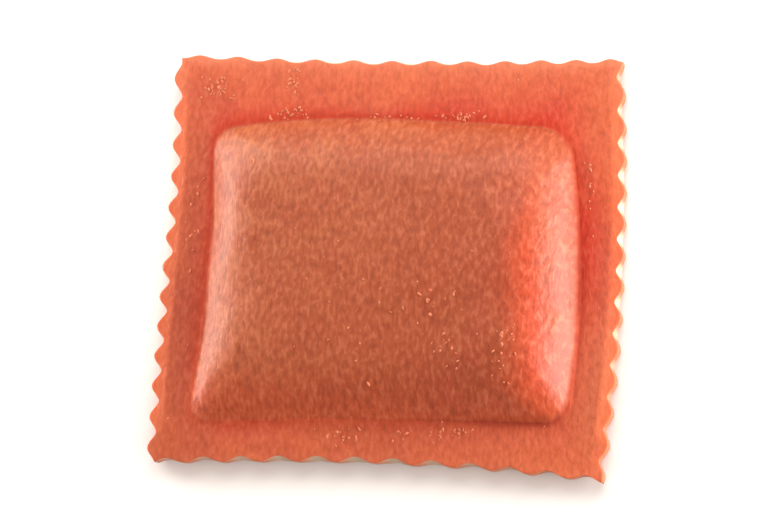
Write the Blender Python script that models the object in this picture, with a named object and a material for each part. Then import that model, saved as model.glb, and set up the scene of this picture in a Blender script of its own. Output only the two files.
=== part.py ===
# One square raviolo lying face up: two sheets of dough pressed together round a filling, with
# a pinked edge.  Metres, +Z up.  The origin is under the middle of the outline, on the surface
# that the raviolo rests on, with its longer side along X.

import math
from collections import namedtuple

import bmesh
import bpy

MM = 0.001
NAME = "raviolo"

# Heights in metres, measured from the flange's upper face
SHEET = 1.8 * MM           # both sheets pressed together, as the cut edge shows them
BELLY = 0.5 * MM           # how far the filling pushes the lower sheet down, flat underneath
SHOULDER = 3.4 * MM        # the filling's height above the flange, without its crown
LEAN = 1.0 * MM            # how much higher it is at the right edge than in the middle
RISE = 0.6 * MM            # how much higher it is at the top edge than in the middle
CROWN = 1.0 * MM           # the crown's rise in the middle
RIM_DROP = 0.12 * MM       # how far the pinking wheel squeezes the left and right edges down
WALL_BEND = 3.0            # how quickly the wall levels out as it rises

# From here on plan sizes are in millimetres, from the middle of the raviolo.  A side is a
# bowed line: its distance out, how much further out one end is, how far its middle bows, and
# how lopsided the bow is.  Corner radii go anticlockwise from the top right.
EDGE = {                   # the smooth line through the notches of the pinked edge
    "top": dict(at=21.80, tilt=-0.13, bow=-0.47, skew=-0.03),
    "bottom": dict(at=-21.94, tilt=0.05, bow=1.05, skew=0.20),
    "left": dict(at=-24.59, tilt=-0.21, bow=0.31, skew=0.59),
    "right": dict(at=23.27, tilt=-0.06, bow=1.01, skew=-0.17),
    "corners": (0.3, 0.3, 0.3, 0.3),
}
BASE = {                   # the crease where the filled part rises from the flange
    "top": dict(at=14.11, tilt=0.29, bow=1.16, skew=-0.60),
    "bottom": dict(at=-17.25, tilt=0.66, bow=0.35, skew=0.0),
    "left": dict(at=-20.65, tilt=0.20, bow=0.80, skew=0.0),
    "right": dict(at=19.20, tilt=-0.67, bow=1.30, skew=0.0),
    "corners": (3.2, 2.4, 2.0, 2.4),
}
WALL = dict(top=8.0, bottom=8.0, left=7.4, right=9.6)    # how wide each wall is from above
SHOULDER_CORNERS = (5.5, 5.0, 3.5, 4.0)
BELLY_SLOPE = 5.0          # width of the underside's slope
BELLY_CORNER = 3.0
RIM_INSIDE = 0.9           # the squeezed rim starts this far inside the notches
RIM_OUTSIDE = 0.30         # and is fully squeezed this far beyond them
UNCUT = 2.6                # how far the dough reaches past the notches before it is cut

# The waves of the pinked edge: depth, pitch, the place of one notch, how the spacing drifts
# and swings along the side, and how pointed the teeth are (1 is a plain cosine)
TEETH = {
    "top": dict(depth=0.40, pitch=4.094, notch=-0.34, drift=-0.346, swing=-0.171, point=1.22),
    "bottom": dict(depth=0.55, pitch=4.118, notch=-2.59, drift=-0.085, swing=-0.048, point=0.95),
    "left": dict(depth=0.92, pitch=3.394, notch=1.19, drift=0.234, swing=0.244, point=0.90),
    "right": dict(depth=0.70, pitch=3.357, notch=0.00, drift=0.127, swing=0.094, point=0.74),
}
HALF_LENGTH = {"top": 24.25, "bottom": 24.25, "left": 21.4, "right": 21.4}
TOOTH_STEPS = 8            # straight pieces in one wave

# Swells and dents where the filling stands up or sinks: place, reach and height
SWELLS = [
    dict(x=15.0, y=9.5, reach=4.5, height=0.10),
    dict(x=14.0, y=-10.5, reach=5.0, height=0.65),
    dict(x=15.5, y=-1.5, reach=4.0, height=0.40),
    dict(x=13.6, y=6.6, reach=1.6, height=-0.22),
    dict(x=-13.5, y=8.0, reach=5.0, height=0.25),
]

# The grid: steps along each side and round each corner, and rings from the middle outwards
SIDE_STEPS = 21
CORNER_STEPS = 5
CROWN_RINGS = 5
WALL_RINGS = 7
FLANGE_RINGS = 2
RIM_RINGS = 2
SLOPE_RINGS = 4
FLAT_RINGS = 2

DOUGH_COLOUR = (0.80, 0.17, 0.07, 1.0)
DOUGH_ROUGHNESS = 0.5

# One ring of points: it lies a part of the way from one outline to another, at one height,
# and is lifted by a share, between 0 and 1, of the filling's own height and lowered by a share
# of the rim's drop
Ring = namedtuple("Ring", "inner outer part height filled squeezed", defaults=(0,))


def mix(a, b, t):
    return a + (b - a) * t


def bowed(line, u):
    """Where a bowed side lies at u, which runs from -1 to 1 along it."""
    return line["at"] + line["tilt"] * u + (line["bow"] + line["skew"] * u) * (1 - u * u)


def toothed(side, s):
    """Where the pinked edge lies, s millimetres along a side: the notch line plus a wave."""
    wave = TEETH[side]
    u = s / HALF_LENGTH[side]
    outward = 1 if side in ("top", "right") else -1
    turns = (s - wave["notch"]) / wave["pitch"]
    turns += (wave["drift"] + wave["swing"] * u) * (1 - u * u)
    lobe = ((1 - math.cos(2 * math.pi * turns)) / 2) ** wave["point"]
    return bowed(EDGE[side], u) + outward * wave["depth"] * lobe


def crossing(upright, level):
    """The corner where two toothed sides cross, found by going from one to the other."""
    x, y = EDGE[upright]["at"], EDGE[level]["at"]
    for _ in range(30):
        x = toothed(upright, y)
        y = toothed(level, x)
    return x, y


def pinked_outline():
    """The outline of the cut dough, anticlockwise, in millimetres."""
    walk = [
        ("bottom", ("left", "bottom"), ("right", "bottom")),
        ("right", ("right", "bottom"), ("right", "top")),
        ("top", ("right", "top"), ("left", "top")),
        ("left", ("left", "top"), ("left", "bottom")),
    ]
    points = []
    for side, start, end in walk:
        level = side in ("top", "bottom")
        first = crossing(*start)[0 if level else 1]
        last = crossing(*end)[0 if level else 1]
        steps = round(abs(last - first) / TEETH[side]["pitch"] * TOOTH_STEPS)
        for step in range(steps):
            s = mix(first, last, step / steps)
            across = toothed(side, s)
            points.append((s, across) if level else (across, s))
    return points


def middle_of(points):
    """The middle of the points' bounding box."""
    xs = [x for x, _ in points]
    ys = [y for _, y in points]
    return (min(xs) + max(xs)) / 2, (min(ys) + max(ys)) / 2


def moved_in(outline, by, corners):
    """An outline whose sides lie further in than another's, each by so much."""
    inner = {"corners": corners}
    for side, inward in (("top", -1), ("bottom", 1), ("left", 1), ("right", -1)):
        line = outline[side]
        inner[side] = dict(line, at=line["at"] + inward * by[side])
    return inner


def all_round(amount):
    return dict.fromkeys(("top", "bottom", "left", "right"), amount)


def round_square(step, outline):
    """A point of the unit square with the outline's corner radii.  Quarter 0 is the right side
    and the top right corner, and the others follow anticlockwise."""
    half = [
        (bowed(outline["right"], 0) - bowed(outline["left"], 0)) / 2,
        (bowed(outline["top"], 0) - bowed(outline["bottom"], 0)) / 2,
    ]
    quarter, rest = divmod(step, SIDE_STEPS + CORNER_STEPS)
    out_half, along_half = half[quarter % 2], half[1 - quarter % 2]
    radius = outline["corners"][quarter]
    radius_before = outline["corners"][quarter - 1]
    if rest < SIDE_STEPS:
        start = -1 + radius_before / along_half
        end = 1 - radius / along_half
        out, along = 1.0, mix(start, end, rest / SIDE_STEPS)
    else:
        turn = (rest - SIDE_STEPS) / CORNER_STEPS * math.pi / 2
        out = 1 - radius / out_half * (1 - math.cos(turn))
        along = 1 - radius / along_half * (1 - math.sin(turn))
    u, v = out, along
    for _ in range(quarter):
        u, v = -v, u
    return u, v


def side_share(step):
    """1 along the left and right sides, running out to 0 at their ends, and 0 elsewhere."""
    steps = SIDE_STEPS + CORNER_STEPS
    quarter, rest = divmod((step + CORNER_STEPS // 2) % (4 * steps), steps)
    part = rest / steps
    return min(1, 8 * min(part, 1 - part)) if quarter % 2 == 0 else 0


def outline_point(outline, step):
    """A point of a bowed outline: between its left and right lines, and its two level lines."""
    u, v = round_square(step, outline)
    x = mix(bowed(outline["left"], v), bowed(outline["right"], v), (u + 1) / 2)
    y = mix(bowed(outline["bottom"], u), bowed(outline["top"], u), (v + 1) / 2)
    return x, y


def swell(x, y):
    """How much the filling stands up or sinks at a place, in metres: the sum of round bells."""
    total = 0.0
    for lump in SWELLS:
        away = ((x - lump["x"]) ** 2 + (y - lump["y"]) ** 2) / lump["reach"] ** 2
        total += lump["height"] * math.exp(-away)
    return total * MM


def filling_height(x, y):
    """The filling's full height at a place, in metres: it leans to the right and rises towards
    the top edge, and its crown is a parabola both ways."""
    left, right = bowed(BASE["left"], 0), bowed(BASE["right"], 0)
    bottom, top = bowed(BASE["bottom"], 0), bowed(BASE["top"], 0)
    u = (2 * x - left - right) / (right - left)
    v = (2 * y - bottom - top) / (top - bottom)
    return SHOULDER + LEAN * u + RISE * v + CROWN * (1 - u * u) * (1 - v * v) + swell(x, y)


def wall_share(t):
    """The filling's share on a wall, t from 0 at its level top to 1 at the steep crease."""
    return 1 - t ** WALL_BEND


def parts_of(count):
    """Equal steps up to 1: for 4 they are 0.25, 0.5, 0.75 and 1."""
    return [(i + 1) / count for i in range(count)]


def ring_plan(shoulder):
    """Every ring of points from the middle of the top to the middle of the underside."""
    ridge = moved_in(EDGE, all_round(RIM_INSIDE), EDGE["corners"])
    squeezed = moved_in(EDGE, all_round(-RIM_OUTSIDE), EDGE["corners"])
    uncut = moved_in(EDGE, all_round(-UNCUT), EDGE["corners"])
    flat = moved_in(BASE, all_round(BELLY_SLOPE), (BELLY_CORNER,) * 4)
    rings = []
    for t in parts_of(CROWN_RINGS):
        rings.append(Ring(None, shoulder, t, 0, 1))
    for t in parts_of(WALL_RINGS):
        rings.append(Ring(shoulder, BASE, t, 0, wall_share(t)))
    for t in parts_of(FLANGE_RINGS):
        rings.append(Ring(BASE, ridge, t, 0, 0))
    for t in parts_of(RIM_RINGS):
        rings.append(Ring(ridge, squeezed, t, 0, 0, (1 - math.cos(t * math.pi)) / 2))
    rings.append(Ring(squeezed, uncut, 1, 0, 0, 1))
    rings.append(Ring(squeezed, uncut, 1, -SHEET, 0))
    rings.append(Ring(BASE, squeezed, 1, -SHEET, 0))
    rings.append(Ring(BASE, squeezed, 0, -SHEET, 0))
    for t in parts_of(SLOPE_RINGS):
        rings.append(Ring(BASE, flat, t, -SHEET - BELLY * math.sin(t * math.pi / 2), 0))
    for t in reversed(parts_of(FLAT_RINGS)[:-1]):
        rings.append(Ring(None, flat, t, -SHEET - BELLY, 0))
    return rings


def ring_point(ring, step, middle):
    """One point of a ring, in millimetres.  A ring with no inner outline grows from the middle."""
    start = middle if ring.inner is None else outline_point(ring.inner, step)
    end = outline_point(ring.outer, step)
    return mix(start[0], end[0], ring.part), mix(start[1], end[1], ring.part)


def uncut_dough(name, collection, centre):
    """The uncut raviolo: a sphere whose rings and meridians are moved to their places."""
    shoulder = moved_in(BASE, WALL, SHOULDER_CORNERS)
    rings = ring_plan(shoulder)
    around = 4 * (SIDE_STEPS + CORNER_STEPS)
    down = len(rings) + 1
    middle = (
        (bowed(shoulder["left"], 0) + bowed(shoulder["right"], 0)) / 2,
        (bowed(shoulder["bottom"], 0) + bowed(shoulder["top"], 0)) / 2,
    )
    bm = bmesh.new()
    bmesh.ops.create_uvsphere(bm, u_segments=around, v_segments=down, radius=1.0)
    for vertex in bm.verts:
        height = max(-1.0, min(1.0, vertex.co.z))
        level = round(math.acos(height) / math.pi * down)
        step = round(math.atan2(vertex.co.y, vertex.co.x) / (2 * math.pi) * around) % around
        if level == 0:
            (x, y), z = middle, filling_height(*middle)
        elif level == down:
            (x, y), z = middle, -SHEET - BELLY
        else:
            ring = rings[level - 1]
            x, y = ring_point(ring, step, middle)
            z = ring.height + filling_height(x, y) * ring.filled
            z -= RIM_DROP * ring.squeezed * side_share(step)
        vertex.co = ((x - centre[0]) * MM, (y - centre[1]) * MM, z + SHEET + BELLY)
    mesh = bpy.data.meshes.new(name)
    bm.to_mesh(mesh)
    bm.free()
    mesh.shade_smooth()
    mesh.set_sharp_from_angle(angle=math.radians(25))
    dough = bpy.data.objects.new(name, mesh)
    collection.objects.link(dough)
    return dough


def pinking_cutter(name, collection, outline, centre):
    """A prism with the pinked outline, taller than the raviolo."""
    curve = bpy.data.curves.new(name, "CURVE")
    curve.dimensions = "2D"
    curve.fill_mode = "BOTH"
    curve.extrude = 20 * MM
    spline = curve.splines.new("POLY")
    spline.points.add(len(outline) - 1)
    for point, (x, y) in zip(spline.points, outline):
        point.co = ((x - centre[0]) * MM, (y - centre[1]) * MM, 0.0, 1.0)
    spline.use_cyclic_u = True
    flat = bpy.data.objects.new(name + "_outline", curve)
    collection.objects.link(flat)
    graph = bpy.context.evaluated_depsgraph_get()
    mesh = bpy.data.meshes.new_from_object(flat.evaluated_get(graph))
    bpy.data.objects.remove(flat)
    bm = bmesh.new()
    bm.from_mesh(mesh)
    bmesh.ops.remove_doubles(bm, verts=bm.verts, dist=0.01 * MM)
    bmesh.ops.recalc_face_normals(bm, faces=bm.faces)
    bm.to_mesh(mesh)
    bm.free()
    cutter = bpy.data.objects.new(name, mesh)
    collection.objects.link(cutter)
    cutter.hide_render = True
    cutter.display_type = "WIRE"
    return cutter


def dough_material():
    material = bpy.data.materials.new("tomato_dough")
    material.use_nodes = True
    shader = material.node_tree.nodes["Principled BSDF"]
    shader.inputs["Base Color"].default_value = DOUGH_COLOUR
    shader.inputs["Roughness"].default_value = DOUGH_ROUGHNESS
    shader.inputs["Metallic"].default_value = 0.0
    return material


def new_collection(name):
    collection = bpy.data.collections.new(name)
    bpy.context.scene.collection.children.link(collection)
    return collection


def main():
    for old in list(bpy.data.objects):
        bpy.data.objects.remove(old)
    food = new_collection(NAME)
    cutters = new_collection("cutters")
    outline = pinked_outline()
    centre = middle_of(outline)
    raviolo = uncut_dough(NAME, food, centre)
    pinked = raviolo.modifiers.new("pinked edge", "BOOLEAN")
    pinked.operation = "INTERSECT"
    pinked.solver = "EXACT"
    pinked.object = pinking_cutter("pinking_cutter", cutters, outline, centre)
    raviolo.data.materials.append(dough_material())


main()
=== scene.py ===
import math

import bpy
import numpy as np
from mathutils import Euler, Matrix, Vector


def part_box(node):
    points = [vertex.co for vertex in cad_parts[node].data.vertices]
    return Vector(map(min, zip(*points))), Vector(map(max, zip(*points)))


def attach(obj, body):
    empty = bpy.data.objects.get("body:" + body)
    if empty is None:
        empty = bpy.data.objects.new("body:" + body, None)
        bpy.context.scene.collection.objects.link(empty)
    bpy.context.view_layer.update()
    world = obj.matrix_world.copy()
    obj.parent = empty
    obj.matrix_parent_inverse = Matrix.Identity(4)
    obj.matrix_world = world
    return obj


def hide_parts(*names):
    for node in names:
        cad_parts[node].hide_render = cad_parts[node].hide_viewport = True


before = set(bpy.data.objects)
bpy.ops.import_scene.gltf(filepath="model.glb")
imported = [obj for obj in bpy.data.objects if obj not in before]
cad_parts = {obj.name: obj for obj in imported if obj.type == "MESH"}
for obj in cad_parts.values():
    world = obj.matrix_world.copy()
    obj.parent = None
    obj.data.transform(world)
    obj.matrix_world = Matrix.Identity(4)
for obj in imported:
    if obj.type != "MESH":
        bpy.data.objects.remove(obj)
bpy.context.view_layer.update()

mm = 0.001
nodeName = "raviolo"
boxLow, boxHigh = (np.array(corner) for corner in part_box(nodeName))
print("frame loaded, raviolo is %.1f x %.1f x %.1f mm" % tuple((boxHigh - boxLow) / mm))

# Plan sizes are millimetres from the middle of the raviolo. A side is a bowed line: its
# distance out, how much further out one end is, its bow and how lopsided the bow is.
# Corner radii go anticlockwise from the top right.
edge = {
    "top": dict(at=21.80, tilt=-0.13, bow=-0.47, skew=-0.03),
    "bottom": dict(at=-21.94, tilt=0.05, bow=1.05, skew=0.20),
    "left": dict(at=-24.59, tilt=-0.21, bow=0.31, skew=0.59),
    "right": dict(at=23.27, tilt=-0.06, bow=1.01, skew=-0.17),
    "corners": (0.3, 0.3, 0.3, 0.3),
}
base = {
    "top": dict(at=14.11, tilt=0.29, bow=1.16, skew=-0.60),
    "bottom": dict(at=-17.25, tilt=0.66, bow=0.35, skew=0.0),
    "left": dict(at=-20.65, tilt=0.20, bow=0.80, skew=0.0),
    "right": dict(at=19.20, tilt=-0.67, bow=1.30, skew=0.0),
    "corners": (3.2, 2.4, 2.0, 2.4),
}
teeth = {
    "top": dict(depth=0.40, pitch=4.094, notch=-0.34, drift=-0.346, swing=-0.171, point=1.22),
    "bottom": dict(depth=0.55, pitch=4.118, notch=-2.59, drift=-0.085, swing=-0.048, point=0.95),
    "left": dict(depth=0.92, pitch=3.394, notch=1.19, drift=0.234, swing=0.244, point=0.90),
    "right": dict(depth=0.70, pitch=3.357, notch=0.00, drift=0.127, swing=0.094, point=0.74),
}
halfLength = {"top": 24.25, "bottom": 24.25, "left": 21.4, "right": 21.4}
sides = ("right", "top", "left", "bottom")          # quarters, anticlockwise

dough = dict(
    sheet=1.8,             # both sheets pressed together
    belly=0.5,             # the underside's bulge, flat in its middle
    bellySlope=5.0,
    bellyCorner=3.0,
    shoulder=3.4,          # the filling's height above the flange, without its crown
    lean=1.0,              # how much higher it is at the right edge than in the middle
    rise=0.6,              # how much higher it is at the top edge than in the middle
    crown=1.0,             # the crown's rise in the middle
    wall=dict(top=8.0, bottom=8.0, left=7.4, right=9.6),
    shoulderCorners=(5.5, 5.0, 3.5, 4.0),
    wallBend=3.0,          # how quickly the wall levels out as it rises
    foot=0.35,             # rounding where the wall runs out into the flange
    softFoot=2.0,          # the same at the bottom, where there is hardly a crease
    rimDrop=0.12,          # the pinking wheel squeezes the left and right edges
    rimInside=0.9,
    rimOutside=0.30,
    ridge=0.008,           # dough pushed up beside the squeezed edge
    ridgeWide=0.22,
    lip=0.15,              # rounding of the cut edge
    flare=0.35,            # how far the lower sheet sticks out in the notches
)
swells = [                 # where the filling stands up or sinks
    dict(x=15.0, y=9.5, reach=4.5, height=0.10),
    dict(x=14.0, y=-10.5, reach=5.0, height=0.65),
    dict(x=15.5, y=-1.5, reach=4.0, height=0.40),
    dict(x=13.6, y=6.6, reach=1.6, height=-0.22),
    dict(x=-13.5, y=8.0, reach=5.0, height=0.25),
]
relief = [                 # bumps of the skin: size along x, y and z, height on filling and flange
    dict(size=(6.0, 6.0, 6.0), filling=0.12, flange=0.05, seed=3),
    dict(size=(2.0, 2.6, 4.0), filling=0.04, flange=0.03, seed=5),
    dict(size=(0.8, 1.1, 3.0), filling=0.022, flange=0.012, seed=8),
]
grid = dict(sideSteps=138, cornerSteps=16, crown=34, wall=44, crease=6, flange=24, rim=12, lip=3,
            cut=8, under=12, slope=8, flat=6)


def mix(a, b, t):
    return a + (b - a) * t


# Place on a bowed side: its distance, plus a tilt along it, plus a parabola zero at both ends
def bowed(line, u):
    return line["at"] + line["tilt"] * u + (line["bow"] + line["skew"] * u) * (1 - u * u)


# Place on a pinked side: the bowed line through the notches plus a cosine wave raised to a power
def toothed(side, s):
    wave = teeth[side]
    u = s / halfLength[side]
    outward = 1 if side in ("top", "right") else -1
    turns = (s - wave["notch"]) / wave["pitch"] + (wave["drift"] + wave["swing"] * u) * (1 - u * u)
    lobe = ((1 - np.cos(2 * np.pi * turns)) / 2) ** wave["point"]
    return bowed(edge[side], u) + outward * wave["depth"] * lobe


# The corner where two pinked sides cross, found by going from one to the other
def crossing(upright, level):
    x, y = edge[upright]["at"], edge[level]["at"]
    for _ in range(30):
        x = toothed(upright, y)
        y = toothed(level, x)
    return float(x), float(y)


# Points of the unit square with rounded corners: straight runs, then quarter circles
def roundSquare(outline, around):
    half = ((bowed(outline["right"], 0) - bowed(outline["left"], 0)) / 2,
            (bowed(outline["top"], 0) - bowed(outline["bottom"], 0)) / 2)
    run, turnSteps = grid["sideSteps"], grid["cornerSteps"]
    quarter = around // (run + turnSteps)
    rest = around % (run + turnSteps)
    odd = quarter % 2 == 1
    outHalf = np.where(odd, half[1], half[0])
    alongHalf = np.where(odd, half[0], half[1])
    radii = np.array(outline["corners"])
    radius, before = radii[quarter], radii[quarter - 1]
    straight = mix(-1 + before / alongHalf, 1 - radius / alongHalf, rest / run)
    turn = np.clip((rest - run) / turnSteps, 0, 1) * np.pi / 2
    onSide = rest < run
    out = np.where(onSide, 1.0, 1 - radius / outHalf * (1 - np.cos(turn)))
    along = np.where(onSide, straight, 1 - radius / alongHalf * (1 - np.sin(turn)))
    return turned(quarter, out, along)


# Turns a place on the right side of the unit square on to its own quarter
def turned(quarter, out, along):
    u = np.choose(quarter, [out, -along, -out, along])
    v = np.choose(quarter, [along, out, -along, -out])
    return u, v


# A bowed outline: each point of the unit square lies between the left and right lines
# and between the bottom and top lines
def placed(outline, u, v):
    x = mix(bowed(outline["left"], v), bowed(outline["right"], v), (u + 1) / 2)
    y = mix(bowed(outline["bottom"], u), bowed(outline["top"], u), (v + 1) / 2)
    return np.stack([x, y], axis=-1)


def outlinePoints(outline, around):
    return placed(outline, *roundSquare(outline, around))


# Which side a point of the pinked edge is on, and how far along it, from 0 to 1
def sideAndPart(around):
    steps = grid["sideSteps"] + grid["cornerSteps"]
    shifted = (around + grid["cornerSteps"] // 2) % (4 * steps)
    return shifted // steps, (shifted % steps) / steps


# The pinked outline: even steps along each side, from the crossing before it to the one after
def pinkedPoints(around):
    quarter, part = sideAndPart(around)
    points = np.zeros((len(around), 2))
    for index, side in enumerate(sides):
        level = side in ("top", "bottom")
        beforeSide, afterSide = sides[index - 1], sides[(index + 1) % 4]
        start = crossing(beforeSide, side) if level else crossing(side, beforeSide)
        end = crossing(afterSide, side) if level else crossing(side, afterSide)
        way = 0 if level else 1
        here = quarter == index
        s = mix(start[way], end[way], part[here])
        points[here, way] = s
        points[here, 1 - way] = toothed(side, s)
    return points


# The ridge beside the pinked edge: it runs straight past the notches
def ridgePoints(around):
    ridge = movedIn(edge, allRound(dough["rimInside"]), edge["corners"])
    quarter, part = sideAndPart(around)
    return placed(ridge, *turned(quarter, np.ones(len(around)), mix(-1, 1, part)))


def movedIn(outline, by, corners):
    inner = {"corners": corners}
    for side, inward in (("top", -1), ("bottom", 1), ("left", 1), ("right", -1)):
        inner[side] = dict(outline[side], at=outline[side]["at"] + inward * by[side])
    return inner


def allRound(amount):
    return dict.fromkeys(sides, amount)


# Smooth noise between -1 and 1: random values on a lattice, blended with a smooth step
def smoothNoise(points, size, seed):
    table = np.random.default_rng(seed).uniform(-1, 1, (64, 64, 64))
    p = points / np.array(size) + 20.37
    cell = np.floor(p).astype(int)
    f = p - cell
    f = f * f * f * (f * (f * 6 - 15) + 10)
    total = 0.0
    for dx in (0, 1):
        for dy in (0, 1):
            for dz in (0, 1):
                weight = (np.abs(1 - dx - f[..., 0]) * np.abs(1 - dy - f[..., 1])
                          * np.abs(1 - dz - f[..., 2]))
                value = table[(cell[..., 0] + dx) % 64, (cell[..., 1] + dy) % 64,
                              (cell[..., 2] + dz) % 64]
                total = total + weight * value
    return total


# Sum of round hills and hollows, each falling off as a bell curve
def swellHeight(plan):
    total = np.zeros(plan.shape[:-1])
    for lump in swells:
        away = ((plan[..., 0] - lump["x"]) ** 2 + (plan[..., 1] - lump["y"]) ** 2)
        total += lump["height"] * np.exp(-away / lump["reach"] ** 2)
    return total


# The filling's full height: it leans, its crown is a parabola both ways, plus the swells
def fillingHeight(plan):
    x, y = plan[..., 0], plan[..., 1]
    left, right, bottom, top = (bowed(base[side], 0) for side in ("left", "right", "bottom", "top"))
    u = (2 * x - left - right) / (right - left)
    v = (2 * y - bottom - top) / (top - bottom)
    crown = dough["crown"] * (1 - u * u) * (1 - v * v)
    return dough["shoulder"] + dough["lean"] * u + dough["rise"] * v + crown + swellHeight(plan)


# The share of it on a wall: a power curve, level at the top, t = 0, and steep at the crease
def wallShare(t):
    return 1 - t ** dough["wallBend"]


# Equal steps from just after the start to the end
def steps(start, end, count):
    return np.linspace(start, end, count + 1)[1:]


# The larger of a height and zero, joined by a parabola where the height is within the foot
def softened(height, foot):
    joined = (height + foot) ** 2 / (4 * foot)
    return np.where(np.abs(height) < foot, joined, np.maximum(height, 0))


# Rings that go from one outline to another: straight mixes, one ring for each t
def between(start, end, t):
    return start + (end - start) * t[:, None, None]


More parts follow.
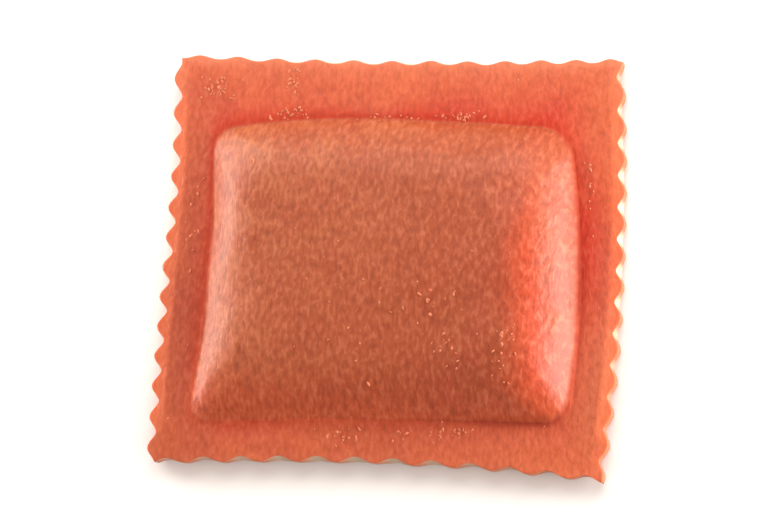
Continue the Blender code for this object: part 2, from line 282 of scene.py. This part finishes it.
# The whole skin as rings from the middle of the top to the middle of the underside. Each band
# of rings runs between two outlines, with a height worked out from how far along it is.
def skinRings():
    total = 4 * (grid["sideSteps"] + grid["cornerSteps"])
    around = np.arange(total)
    sheet, lip = dough["sheet"], dough["lip"]
    shoulder = movedIn(base, dough["wall"], dough["shoulderCorners"])
    flat = movedIn(base, allRound(dough["bellySlope"]), (dough["bellyCorner"],) * 4)
    middle = placed(shoulder, np.zeros(1), np.zeros(1))
    shoulderLine, baseLine = outlinePoints(shoulder, around), outlinePoints(base, around)
    flatLine, pinkLine, ridgeLine = outlinePoints(flat, around), pinkedPoints(around), ridgePoints(around)
    outward = pinkLine - ridgeLine
    reach = np.linalg.norm(outward, axis=-1) + 1e-9
    outward = outward / reach[:, None]
    wallReach = np.linalg.norm(baseLine - shoulderLine, axis=-1)
    wallWay = (baseLine - shoulderLine) / wallReach[:, None]
    footSlope = dough["wallBend"] * fillingHeight(baseLine) / wallReach
    footWide = mix(dough["foot"], dough["softFoot"], np.clip(-wallWay[:, 1], 0, 1) ** 6)
    quarter, part = sideAndPart(around)
    upright = np.where(quarter % 2 == 0, np.clip(8 * np.minimum(part, 1 - part), 0, 1), 0)
    bands = []

    def addBand(plan, z, filling=0.0, cut=0.0):
        bands.append((plan, *(np.broadcast_to(value, plan.shape[:2]) for value in (z, filling, cut))))

    # Squeezed down as half a cosine wave over the width of the wheel's mark
    def rimHeight(distance):
        wide = dough["rimInside"] + dough["rimOutside"]
        return -dough["rimDrop"] * upright * (1 - np.cos(np.clip(distance / wide, 0, 1) * np.pi)) / 2

    t = steps(0, 1, grid["crown"])
    plan = between(middle, shoulderLine, t)
    addBand(plan, fillingHeight(plan), 1.0)
    t = steps(0, 1, grid["wall"])
    plan = between(shoulderLine, baseLine, t)
    addBand(plan, softened(fillingHeight(plan) * wallShare(t)[:, None], footWide), 1.0)
    t = np.concatenate([steps(0, 0.12, grid["crease"]), steps(0.12, 1, grid["flange"])])
    plan = between(baseLine, ridgeLine, t)
    fromBase = np.linalg.norm(plan - baseLine, axis=-1)
    fromRidge = np.linalg.norm(plan - ridgeLine, axis=-1)
    bead = dough["ridge"] * np.exp(-(fromRidge / dough["ridgeWide"]) ** 2) * upright
    addBand(plan, bead + softened(-footSlope * fromBase, footWide))
    distance = (reach - lip) * steps(0, 1, grid["rim"])[:, None]
    bead = dough["ridge"] * np.exp(-(distance / dough["ridgeWide"]) ** 2) * upright
    addBand(ridgeLine + outward * distance[..., None], rimHeight(distance) + bead)
    top = rimHeight(reach)
    angle = steps(0, np.pi / 2, grid["lip"])[:, None]
    distance = reach - lip + lip * np.sin(angle)
    addBand(ridgeLine + outward * distance[..., None], top - lip * (1 - np.cos(angle)), 0, np.sin(angle))
    t = steps(0, 1, grid["cut"])
    notch = 1 - np.clip((reach - reach.min()) / 0.5, 0, 1)
    lowReach = reach + dough["flare"] * notch
    lowLine = ridgeLine + outward * lowReach[:, None]
    addBand(between(pinkLine, lowLine, t), mix(top - lip, lip - sheet, t[:, None]), 0, 1)
    distance = lowReach - lip + lip * np.cos(angle)
    addBand(ridgeLine + outward * distance[..., None], lip * (1 - np.sin(angle)) - sheet, 0, np.cos(angle))
    innerLine = ridgeLine + outward * (lowReach - lip)[:, None]
    addBand(between(innerLine, baseLine, steps(0, 1, grid["under"])), -sheet)
    t = steps(0, 1, grid["slope"])
    drop = dough["belly"] * np.sin(t * np.pi / 2)
    addBand(between(baseLine, flatLine, t), -sheet - drop[:, None], t[:, None])
    t = steps(1, 0, grid["flat"])[:-1]
    addBand(between(middle, flatLine, t), -sheet - dough["belly"], 1.0)

    plan, z, filling, cut = (np.concatenate(list(part)) for part in zip(*bands))
    poles = [(*middle[0], float(fillingHeight(middle)[0])), (*middle[0], -sheet - dough["belly"])]
    points = np.concatenate([plan, z[..., None]], axis=-1)
    faceUp = z > -sheet * 0.6
    fromBase = np.linalg.norm(plan - baseLine, axis=-1)
    x, y = plan[..., 0], plan[..., 1]
    rightward = np.clip(wallWay[:, 0], 0, 1)
    # Painted shade and reflected red on the flange beside the filling, where it blocks the lamps: how strong
    # and how wide on each side
    footShare = ((0.7 + 0.3 * np.abs(wallWay[:, 0]) + 0.4 * np.minimum(wallWay[:, 1], 0))
                 * np.clip(0.9 + baseLine[:, 1] * rightward / 28, 0.2, 1.2))
    alongTop = np.clip((wallWay[:, 1] - 0.4) / 0.3, 0, 1)
    footShare = footShare * (1 - 0.45 * np.clip(baseLine[:, 0] / 10, 0, 1) * alongTop)
    offFilling = 1 - filling
    upward = np.clip(baseLine[:, 1] / 12, 0, 1)
    besideWide = (0.8 + 2.2 * np.abs(wallWay[:, 0]) + 1.4 * rightward
                  + 1.2 * upward * rightward ** 6)
    # Painted shade, darker red, in the crease at the filling's foot
    creaseShadeShare = np.clip(0.6 + (0.35 - baseLine[:, 1] / 28) * rightward
                          + 0.75 * np.minimum(wallWay[:, 1], 0), 0.1, 1)
    crease = np.exp(-(fromBase / mix(0.55, 0.25, filling)) ** 2) * faceUp * creaseShadeShare
    beside = np.exp(-(fromBase / besideWide) ** 2) * faceUp * footShare * offFilling
    beside = beside * (1 + 0.25 * np.clip(wallWay[:, 0], -1, 0))
    footWide = mix(0.6 + 1.6 * np.abs(wallWay[:, 0]), 0.3, filling)
    foot = np.exp(-(fromBase / footWide) ** 2) * faceUp
    # Paler towards the bottom right of the flange
    dry = (np.clip(0.5 - y / 14, 0, 1) * np.clip(1.7 + y / 14, 0.2, 1)
           * np.clip((x + 6) / 26, 0, 1))
    # Painted shade: darker on the left flange and along the bottom edge, where the filling blocks the lamps
    dense = (np.clip((-x - 17) / 4, 0, 1) * np.clip(0.9 - y / 24, 0, 1)
             + 0.6 * np.clip((-y - 15) / 3, 0, 1) * np.clip((22 - x) / 20, 0, 1))
    dense = np.clip(dense, 0, 1)
    low = np.clip((-y - 11.5) / 4, 0, 1)
    # Painted glow over the right shoulder, where the right lamp lights the dough
    fromShoulder = x - 15.6 - 1.8 * np.clip(-y / 12, 0, 1)
    fadeWide = np.where(fromShoulder < 0, 2.3, 1.4)
    stretched = (np.exp(-(fromShoulder / fadeWide) ** 2) * np.clip((y + 17) / 4, 0, 1)
                 * np.clip((10 - y) / 9, 0.15, 1))
    browned = np.clip(0.5 + (0.6 * y - x) / 34, 0, 1)
    beyond = ((plan - ridgeLine) * outward).sum(-1) - dough["rimInside"]
    # Painted highlight: a thin pale line along the ridge beside the left and right edges
    ridge = np.exp(-((beyond + 0.45) / 0.16) ** 2) * faceUp * upright
    # Painted light on the squeezed left and right edges
    rim = np.exp(-(np.clip(0.5 - beyond, 0, None) / 1.1) ** 2) * upright
    dusted = (np.exp(-np.clip(0.1 - beyond, 0, None) / 0.9) * (1 - 0.8 * upright) * faceUp
              * (0.6 + y / 52))
    notch = np.broadcast_to(notch, z.shape)
    # Painted shade on the cut faces along the bottom edge
    bare = np.broadcast_to(np.clip(-wallWay[:, 1], 0, 1), z.shape)
    looks = dict(filling=filling, cut=cut, crease=crease, beside=beside, ridge=ridge, rim=rim,
                 notch=notch, browned=browned, foot=foot, dry=dry, dense=dense,
                 low=low, stretched=stretched, dusted=dusted, bare=bare)
    return points, poles, looks


# Outward directions on the grid: the cross product of the way round and the way down
def gridNormals(points):
    aroundWay = np.roll(points, -1, axis=1) - np.roll(points, 1, axis=1)
    downWay = np.gradient(points, axis=0)
    normal = np.cross(downWay, aroundWay)
    return normal / (np.linalg.norm(normal, axis=-1, keepdims=True) + 1e-12)


# Closed faces of a grid of rings with a pole at each end
def gridFaces(rings, total):
    i, j = np.meshgrid(np.arange(rings - 1), np.arange(total), indexing="ij")
    k = (j + 1) % total
    corners = [i * total + j, (i + 1) * total + j, (i + 1) * total + k, i * total + k]
    quads = np.stack(corners, axis=-1).reshape(-1, 4)
    j = np.arange(total)
    k = (j + 1) % total
    first, last = rings * total, rings * total + 1
    low = (rings - 1) * total
    topFan = np.stack([np.full(total, first), j, k], axis=-1)
    lowFan = np.stack([low + j, np.full(total, last), low + k], axis=-1)
    return quads.tolist() + topFan.tolist() + lowFan.tolist()


# From millimetres on the raviolo to metres in the frame of the whole
def placeInFrame(points, outlineMiddle):
    lifted = points * mm
    lifted[..., 0] += (boxLow[0] + boxHigh[0]) / 2 - outlineMiddle[0] * mm
    lifted[..., 1] += (boxLow[1] + boxHigh[1]) / 2 - outlineMiddle[1] * mm
    lifted[..., 2] += boxLow[2] + (dough["sheet"] + dough["belly"]) * mm
    return lifted


# One mesh object from points and faces, with one float attribute for each look
def makeMesh(name, points, faces, looks):
    mesh = bpy.data.meshes.new(name)
    mesh.from_pydata(points.tolist(), [], faces)
    mesh.update()
    for key, values in looks.items():
        layer = mesh.attributes.new(key, "FLOAT", "POINT")
        layer.data.foreach_set("value", np.asarray(values, np.float32).ravel())
    mesh.shade_smooth()
    piece = bpy.data.objects.new(name, mesh)
    bpy.context.scene.collection.objects.link(piece)
    return piece


# The skin: the rings, moved along their normals by three sizes of noise
def makeSkin():
    points, poles, looks = skinRings()
    rings, total = points.shape[:2]
    pinkLine = pinkedPoints(np.arange(total))
    outlineMiddle = (pinkLine.min(axis=0) + pinkLine.max(axis=0)) / 2
    normal = gridNormals(points)
    depth = (-dough["sheet"] - points[..., 2]) / (dough["belly"] * 0.8)
    free = 1 - np.clip(depth, 0, 1)          # the underside stays flat where it rests
    for layer in relief:
        height = mix(layer["flange"], layer["filling"], looks["filling"]) * free
        noise = smoothNoise(points, layer["size"], layer["seed"])
        points = points + normal * (noise * height)[..., None]
    flat = np.concatenate([points.reshape(-1, 3), poles])
    values = {key: np.append(value.ravel(), [float(key == "filling")] * 2) for key, value in looks.items()}
    skin = makeMesh("doughSkin", placeInFrame(flat, outlineMiddle), gridFaces(rings, total), values)
    print("dough skin:", len(flat), "points")
    return skin, points, normal, outlineMiddle


# Semolina in clusters: where, how far it spreads, how many grains
semolina = dict(
    small=0.20,            # mm across
    large=0.50,
    sunk=0.50,             # part of a grain pressed into the dough
    seed=21,
    scattered=45,
    ringSteps=5,
    aroundSteps=8,
    clusters=[
        dict(x=-20.2, y=18.6, wide=1.9, tall=1.1, count=36),
        dict(x=-11.8, y=19.2, wide=0.6, tall=2.2, count=24),
        dict(x=-11.8, y=15.9, wide=1.9, tall=0.7, count=27),
        dict(x=-1.0, y=15.4, wide=5.0, tall=0.4, count=15),
        dict(x=7.2, y=15.7, wide=1.8, tall=0.5, count=21),
        dict(x=-14.2, y=9.8, wide=0.9, tall=0.9, count=10),
        dict(x=8.0, y=-9.2, wide=1.4, tall=1.9, count=15),
        dict(x=13.6, y=-11.4, wide=1.4, tall=2.2, count=18),
        dict(x=14.0, y=-8.3, wide=1.6, tall=1.4, count=12),
        dict(x=5.0, y=-5.0, wide=3.0, tall=2.0, count=12),
        dict(x=-4.0, y=-18.7, wide=1.9, tall=0.9, count=15),
        dict(x=8.1, y=-18.1, wide=1.8, tall=0.9, count=21),
        dict(x=2.4, y=-18.4, wide=1.4, tall=1.0, count=8),
        dict(x=21.0, y=8.0, wide=0.6, tall=3.2, count=9),
        dict(x=-22.0, y=3.0, wide=0.8, tall=7.0, count=12),
        dict(x=-4.0, y=-6.0, wide=6.0, tall=5.0, count=15),
    ],
)


# Each grain is a ball whose rings are squashed and turned at random, half sunk in the skin
def makeSemolina(skinPoints, skinNormals, outlineMiddle):
    rng = np.random.default_rng(semolina["seed"])
    upper = grid["crown"] + grid["wall"] + grid["crease"] + grid["flange"]
    places, ways = skinPoints[:upper].reshape(-1, 3), skinNormals[:upper].reshape(-1, 3)
    wanted = [rng.normal((spot["x"], spot["y"]), (spot["wide"] / 1.6, spot["tall"] / 1.6), (spot["count"], 2))
              for spot in semolina["clusters"]]
    wanted.append(rng.uniform((-24, -21), (23, 21), (semolina["scattered"], 2)))
    wanted = np.clip(np.concatenate(wanted), (-24, -21.2), (22.6, 20.8))
    apart = ((wanted[:, None, :] - places[None, ::3, :2]) ** 2).sum(-1)
    nearest = apart.argmin(axis=1) * 3
    count = len(nearest)
    rest = np.append(wanted - places[nearest, :2], np.zeros((count, 1)), axis=1)
    size = mix(semolina["small"], semolina["large"], rng.uniform(0, 1, count) ** 1.6)
    size[-semolina["scattered"]:] *= 0.6
    down, around = semolina["ringSteps"], semolina["aroundSteps"]
    polar = np.linspace(0, np.pi, down + 2)[1:-1]
    turn = np.arange(around) / around * 2 * np.pi
    ball = np.stack([np.sin(polar)[:, None] * np.cos(turn), np.sin(polar)[:, None] * np.sin(turn),
                     np.broadcast_to(np.cos(polar)[:, None], (down, around))], axis=-1).reshape(-1, 3)
    ball = np.concatenate([ball, [(0, 0, 1), (0, 0, -1)]])
    grains = ball[None] * rng.uniform(0.8, 1.1, (count, len(ball), 1))
    shape = rng.uniform((0.6, 0.9, 0.6), (0.9, 1.5, 0.9), (count, 1, 3))
    grains = grains * shape * size[:, None, None] / 2
    spin = rng.normal(0, 0.5, (count, 1))        # most lie along the way the dough was rolled
    x = grains[..., 0] * np.cos(spin) - grains[..., 1] * np.sin(spin)
    y = grains[..., 0] * np.sin(spin) + grains[..., 1] * np.cos(spin)
    normal = ways[nearest]
    across = np.cross(np.array([0.0, 1.0, 0.0]), normal)
    across /= np.linalg.norm(across, axis=-1, keepdims=True)
    along = np.cross(normal, across)
    z = grains[..., 2] + size[:, None] * (0.35 - semolina["sunk"])
    points = ((places[nearest] + rest)[:, None] + x[..., None] * across[:, None]
              + y[..., None] * along[:, None] + z[..., None] * normal[:, None])
    one = gridFaces(down, around)
    faces = [[index + grain * len(ball) for index in face] for grain in range(count) for face in one]
    tone = np.repeat(rng.uniform(0, 1, count), len(ball))
    flat = placeInFrame(points.reshape(-1, 3), outlineMiddle)
    piece = makeMesh("semolinaGrains", flat, faces, dict(tone=tone))
    print("semolina:", count, "grains")
    return piece


def toLinear(hexColour):
    values = [int(hexColour[i:i + 2], 16) / 255 for i in (1, 3, 5)]
    linear = [c / 12.92 if c <= 0.04045 else ((c + 0.055) / 1.055) ** 2.4 for c in values]
    return (*linear, 1.0)


# The socket of that name, or number, which is in use: some nodes have one for each kind of value
def pick(sockets, name):
    if isinstance(name, int):
        return sockets[name]
    return next(socket for socket in sockets if socket.name == name and socket.enabled)


# Adds one node with its settings and links; a link is written as (node, output name)
def addNode(tree, kind, inputs=None, **settings):
    node = tree.nodes.new(kind)
    for name, value in settings.items():
        setattr(node, name, value)
    for name, value in (inputs or {}).items():
        socket = pick(node.inputs, name)
        if isinstance(value, tuple) and isinstance(value[0], bpy.types.Node):
            tree.links.new(pick(value[0].outputs, value[1]), socket)
        else:
            socket.default_value = value
    return node


doughLook = dict(
    flange="#BD562F",
    flangeDeep="#B14827",
    flangePale="#C06946",   # paler towards the bottom right
    # painted shade on the left flange and along the bottom edge
    flangeInShade="#8C3A1E",
    leftBottomShadeShare=0.5,
    filling="#A45731",
    fillingRed="#983D20",
    fillingDeep="#994524",
    fillingLow="#A74421",  # redder down its bottom side
    stretched="#B43A18",   # painted glow: redder and brighter over the right shoulder, where the right lamp lights it
    rightShoulderGlowShare=0.55,
    # painted shade in the crease at the filling's foot
    crease="#8A2410",
    creaseShadeShare=0.8,
    # painted shade and reflected red on the flange beside the filling
    beside="#B21C08",
    besideShadeShare=0.9,
    rim="#D96C42",         # painted light: brighter orange on the squeezed left and right edges, lit by the side lamps and shining through
    rimLightShare=0.5,
    dusted="#E8A27C",      # flour along the top and bottom edges
    dustedShare=0.22,
    # painted highlight along the ridge
    ridge="#F08A60",
    ridgeHighlightShare=0.06,
    tan="#D98A6A",
    brown="#6A2310",
    cutTip="#A85A34",
    cutNotch="#CDB59C",    # the cut dough is paler; painted light makes the notches paler than the tips
    cutShade="#A8917A",     # painted shade on the cut faces along the bottom edge
    streakWide=0.46,       # mm
    streakLong=0.90,
    streakDeep=3.0,
    tanShare=0.24,
    brownShare=0.48,
    flangeShare=0.65,       # how much of the streaks shows off the filling
    blotchSize=5.0,        # mm
    roughness=0.45,
    footRoughness=0.9,     # dull with flour at the foot of the filling
    specular=0.34,
    sheen=0.0,
    bumpHeight=0.07,       # mm
    throughShare=0.3,      # light that passes through the dough
    throughDepth=0.8,      # mm
)


# Fresh egg dough with tomato, rolled thin and dusted: satin and a little see-through, with
# fine streaks along the way it was rolled and the darker filling showing through
def doughMaterial():
    look = doughLook
    material = bpy.data.materials.new("rolledTomatoDough")
    material.use_nodes = True
    tree = material.node_tree
    shader = tree.nodes["Principled BSDF"]
    place = addNode(tree, "ShaderNodeTexCoord")
    perMm = 1 / mm

    def attribute(name):
        return addNode(tree, "ShaderNodeAttribute", attribute_name=name)

    def blend(factor, a, b):
        return addNode(tree, "ShaderNodeMix", {"Factor": factor, "A": a, "B": b}, data_type="RGBA")

    def times(a, b):
        return addNode(tree, "ShaderNodeMath", {0: a, 1: b}, operation="MULTIPLY")

    filling, crease, ridge = attribute("filling"), attribute("crease"), attribute("ridge")
    rim, cut, notch = attribute("rim"), attribute("cut"), attribute("notch")
    beside, browned = attribute("beside"), attribute("browned")
    scale = (perMm / look["streakWide"], perMm / look["streakLong"], perMm / look["streakDeep"])
    streakPlace = addNode(tree, "ShaderNodeMapping", {"Vector": (place, "Object"), "Scale": scale})
    streaks = addNode(tree, "ShaderNodeTexNoise", {"Vector": (streakPlace, "Vector"), "Scale": 1.0,
                                                  "Detail": 2.0, "Roughness": 0.5, "Distortion": 0.25})
    blotches = addNode(tree, "ShaderNodeTexNoise", {"Vector": (place, "Object"),
                                                   "Scale": perMm / look["blotchSize"],
                                                   "Detail": 3.0, "Roughness": 0.55})
    patches = addNode(tree, "ShaderNodeMapRange", {"Value": (blotches, "Fac"), "From Min": 0.35,
                                                  "From Max": 0.65})
    flange = blend((patches, "Result"), toLinear(look["flange"]), toLinear(look["flangeDeep"]))
    # Paler towards the bottom right of the flange
    flangePale = blend((attribute("dry"), "Fac"), (flange, "Result"), toLinear(look["flangePale"]))
    # Painted shade and reflected red on the flange beside the filling
    besideShadeShare = times((beside, "Fac"), look["besideShadeShare"])
    flangeShaded = blend((besideShadeShare, "Value"), (flangePale, "Result"), toLinear(look["beside"]))
    # Painted shade on the left flange and along the bottom edge
    leftBottomShadeShare = times((attribute("dense"), "Fac"), look["leftBottomShadeShare"])
    flangeInShade = blend((leftBottomShadeShare, "Value"), (flangeShaded, "Result"), toLinear(look["flangeInShade"]))
    stuffing = blend((browned, "Fac"), toLinear(look["fillingRed"]), toLinear(look["filling"]))
    patched = blend((patches, "Result"), (stuffing, "Result"), toLinear(look["fillingDeep"]))
    reddened = blend((attribute("low"), "Fac"), (patched, "Result"), toLinear(look["fillingLow"]))
    # Painted glow over the lit right shoulder
    stretched = times((attribute("stretched"), "Fac"), look["rightShoulderGlowShare"])
    stuffed = blend((stretched, "Value"), (reddened, "Result"), toLinear(look["stretched"]))
    body = blend((filling, "Fac"), (flangeInShade, "Result"), (stuffed, "Result"))
    share = addNode(tree, "ShaderNodeMapRange", {"Value": (filling, "Fac"),
                                                "To Min": look["flangeShare"], "To Max": 1.0})
    light = addNode(tree, "ShaderNodeMapRange", {"Value": (streaks, "Fac"), "From Min": 0.5,
                                                "From Max": 0.75, "To Max": look["tanShare"]})
    dark = addNode(tree, "ShaderNodeMapRange", {"Value": (streaks, "Fac"), "From Min": 0.5,
                                               "From Max": 0.25, "To Max": look["brownShare"]})
    lightShare = times((light, "Result"), (share, "Result"))
    darkShare = times((dark, "Result"), (share, "Result"))
    lit = blend((lightShare, "Value"), (body, "Result"), toLinear(look["tan"]))
    streaked = blend((darkShare, "Value"), (lit, "Result"), toLinear(look["brown"]))
    # Painted shade in the crease
    creaseShadeShare = times((crease, "Fac"), look["creaseShadeShare"])
    creased = blend((creaseShadeShare, "Value"), (streaked, "Result"), toLinear(look["crease"]))
    # Painted light on the left and right edges
    rimLightShare = times((rim, "Fac"), look["rimLightShare"])
    rimmed = blend((rimLightShare, "Value"), (creased, "Result"), toLinear(look["rim"]))
    dustedShare = times((attribute("dusted"), "Fac"), look["dustedShare"])
    floured = blend((dustedShare, "Value"), (rimmed, "Result"), toLinear(look["dusted"]))
    # Painted highlight along the ridge
    ridgeHighlightShare = times((ridge, "Fac"), look["ridgeHighlightShare"])
    ridged = blend((ridgeHighlightShare, "Value"), (floured, "Result"), toLinear(look["ridge"]))
    # Painted shade on the cut faces along the bottom edge
    inNotch = blend((attribute("bare"), "Fac"), toLinear(look["cutNotch"]), toLinear(look["cutShade"]))
    # Painted light: the cut faces paler in the notches than at the tips
    cutColour = blend((notch, "Fac"), toLinear(look["cutTip"]), (inNotch, "Result"))
    colour = blend((cut, "Fac"), (ridged, "Result"), (cutColour, "Result"))
    tree.links.new(pick(colour.outputs, "Result"), shader.inputs["Base Color"])
    bump = addNode(tree, "ShaderNodeBump", {"Height": (streaks, "Fac"), "Strength": 1.0,
                                           "Distance": look["bumpHeight"] * mm})
    tree.links.new(bump.outputs["Normal"], shader.inputs["Normal"])
    rough = addNode(tree, "ShaderNodeMapRange", {"Value": (attribute("foot"), "Fac"),
                                                "To Min": look["roughness"], "To Max": look["footRoughness"]})
    tree.links.new(rough.outputs["Result"], shader.inputs["Roughness"])
    shader.inputs["Specular IOR Level"].default_value = look["specular"]
    shader.inputs["Subsurface Weight"].default_value = look["throughShare"]
    shader.inputs["Subsurface Radius"].default_value = (1.0, 0.35, 0.15)
    shader.inputs["Subsurface Scale"].default_value = look["throughDepth"] * mm
    shader.inputs["Sheen Weight"].default_value = look["sheen"]
    shader.inputs["Sheen Roughness"].default_value = 0.4
    shader.inputs["Sheen Tint"].default_value = toLinear("#FFD9C4")
    return material


semolinaLook = dict(pale="#C26C48", warm="#B45836", roughness=0.7)


# Coarse semolina, pale and half see-through, so it takes up some of the dough's colour
def semolinaMaterial():
    look = semolinaLook
    material = bpy.data.materials.new("coarseSemolina")
    material.use_nodes = True
    tree = material.node_tree
    shader = tree.nodes["Principled BSDF"]
    tone = addNode(tree, "ShaderNodeAttribute", attribute_name="tone")
    colour = addNode(tree, "ShaderNodeMix", {"Factor": (tone, "Fac"), "A": toLinear(look["pale"]),
                                            "B": toLinear(look["warm"])}, data_type="RGBA")
    tree.links.new(pick(colour.outputs, "Result"), shader.inputs["Base Color"])
    shader.inputs["Roughness"].default_value = look["roughness"]
    shader.inputs["Subsurface Weight"].default_value = 0.2
    shader.inputs["Subsurface Radius"].default_value = (1.0, 0.6, 0.4)
    shader.inputs["Subsurface Scale"].default_value = 0.3 * mm
    return material


floor = dict(size=2.0, colour=(0.83, 0.81, 0.81))


# The table under the raviolo: plain matt white
def makeFloor():
    half = floor["size"] / 2
    mesh = bpy.data.meshes.new("floor")
    mesh.from_pydata([(-half, -half, 0), (half, -half, 0), (half, half, 0), (-half, half, 0)], [],
                     [(0, 1, 2, 3)])
    mesh.update()
    table = bpy.data.objects.new("floor", mesh)
    bpy.context.scene.collection.objects.link(table)
    material = bpy.data.materials.new("mattWhitePaper")
    material.use_nodes = True
    shader = material.node_tree.nodes["Principled BSDF"]
    shader.inputs["Base Color"].default_value = (*floor["colour"], 1.0)
    shader.inputs["Roughness"].default_value = 1.0
    shader.inputs["Specular IOR Level"].default_value = 0.0
    table.data.materials.append(material)
    table.location.z = boxLow[2]


# Azimuths are counted anticlockwise from +X, sizes and distances in metres
lamps = dict(
    right=dict(azimuth=-1, elevation=8, distance=0.30, size=(0.28, 0.08), watts=2.1),
    left=dict(azimuth=180, elevation=4, distance=0.30, size=(0.26, 0.04), watts=0.85),
    upperLeft=dict(azimuth=145, elevation=19, distance=0.26, size=(0.20, 0.08), watts=0.54),
    top=dict(azimuth=100, elevation=55, distance=0.30, size=(0.22, 0.12), watts=0.30),
    upperRight=dict(azimuth=62, elevation=36, distance=0.30, size=(0.20, 0.12), watts=0.42),
)
studio = dict(ambient=0.68, exposure=0.0, lamp=(1.0, 0.975, 0.93), room=(1.0, 0.89, 0.80))


def makeLamps():
    target = Vector((0, 0, boxLow[2] + (dough["sheet"] + dough["belly"]) * mm))
    for name, lamp in lamps.items():
        data = bpy.data.lights.new(name + "Softbox", "AREA")
        data.shape = "RECTANGLE"
        data.size, data.size_y = lamp["size"]
        data.energy = lamp["watts"]
        data.color = studio["lamp"]
        box = bpy.data.objects.new(name + "Softbox", data)
        azimuth, elevation = math.radians(lamp["azimuth"]), math.radians(lamp["elevation"])
        away = Vector((math.cos(azimuth) * math.cos(elevation),
                       math.sin(azimuth) * math.cos(elevation), math.sin(elevation)))
        box.location = target + away * lamp["distance"]
        box.rotation_euler = away.to_track_quat("Z", "Y").to_euler()
        bpy.context.scene.collection.objects.link(box)
    world = bpy.data.worlds.new("studio")
    world.use_nodes = True
    background = world.node_tree.nodes["Background"]
    background.inputs["Color"].default_value = (*studio["room"], 1.0)
    background.inputs["Strength"].default_value = studio["ambient"]
    bpy.context.scene.world = world
    print("lamps:", ", ".join(lamps))


view = dict(
    aim=(-0.46, -0.59, 0.0),    # mm, from the middle of the raviolo, on the flange
    distance=253.5,             # mm
    azimuth=58.75,              # degrees from -Y towards +X
    elevation=73.03,
    roll=-56.14,
    lens=112.5,
)


def makeCamera(outlineMiddle):
    azimuth, elevation = math.radians(view["azimuth"]), math.radians(view["elevation"])
    away = Vector((math.sin(azimuth) * math.cos(elevation),
                   -math.cos(azimuth) * math.cos(elevation), math.sin(elevation)))
    aim = Vector(placeInFrame(np.array(view["aim"]), outlineMiddle).tolist())
    data = bpy.data.cameras.new("camera")
    data.lens = view["lens"]
    data.clip_start = 0.01
    camera = bpy.data.objects.new("camera", data)
    camera.location = aim + away * view["distance"] * mm
    roll = Euler((0, 0, math.radians(view["roll"]))).to_matrix()
    camera.rotation_euler = (away.to_track_quat("Z", "Y").to_matrix() @ roll).to_euler()
    bpy.context.scene.collection.objects.link(camera)
    bpy.context.scene.camera = camera


skin, skinPoints, skinNormals, outlineMiddle = makeSkin()
skin.data.materials.append(doughMaterial())
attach(skin, "root")
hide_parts(nodeName)

grains = makeSemolina(skinPoints, skinNormals, outlineMiddle)
grains.data.materials.append(semolinaMaterial())
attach(grains, "root")

makeFloor()
makeLamps()
makeCamera(outlineMiddle)
scene = bpy.context.scene
scene.view_settings.view_transform = "Standard"
scene.view_settings.exposure = studio["exposure"]
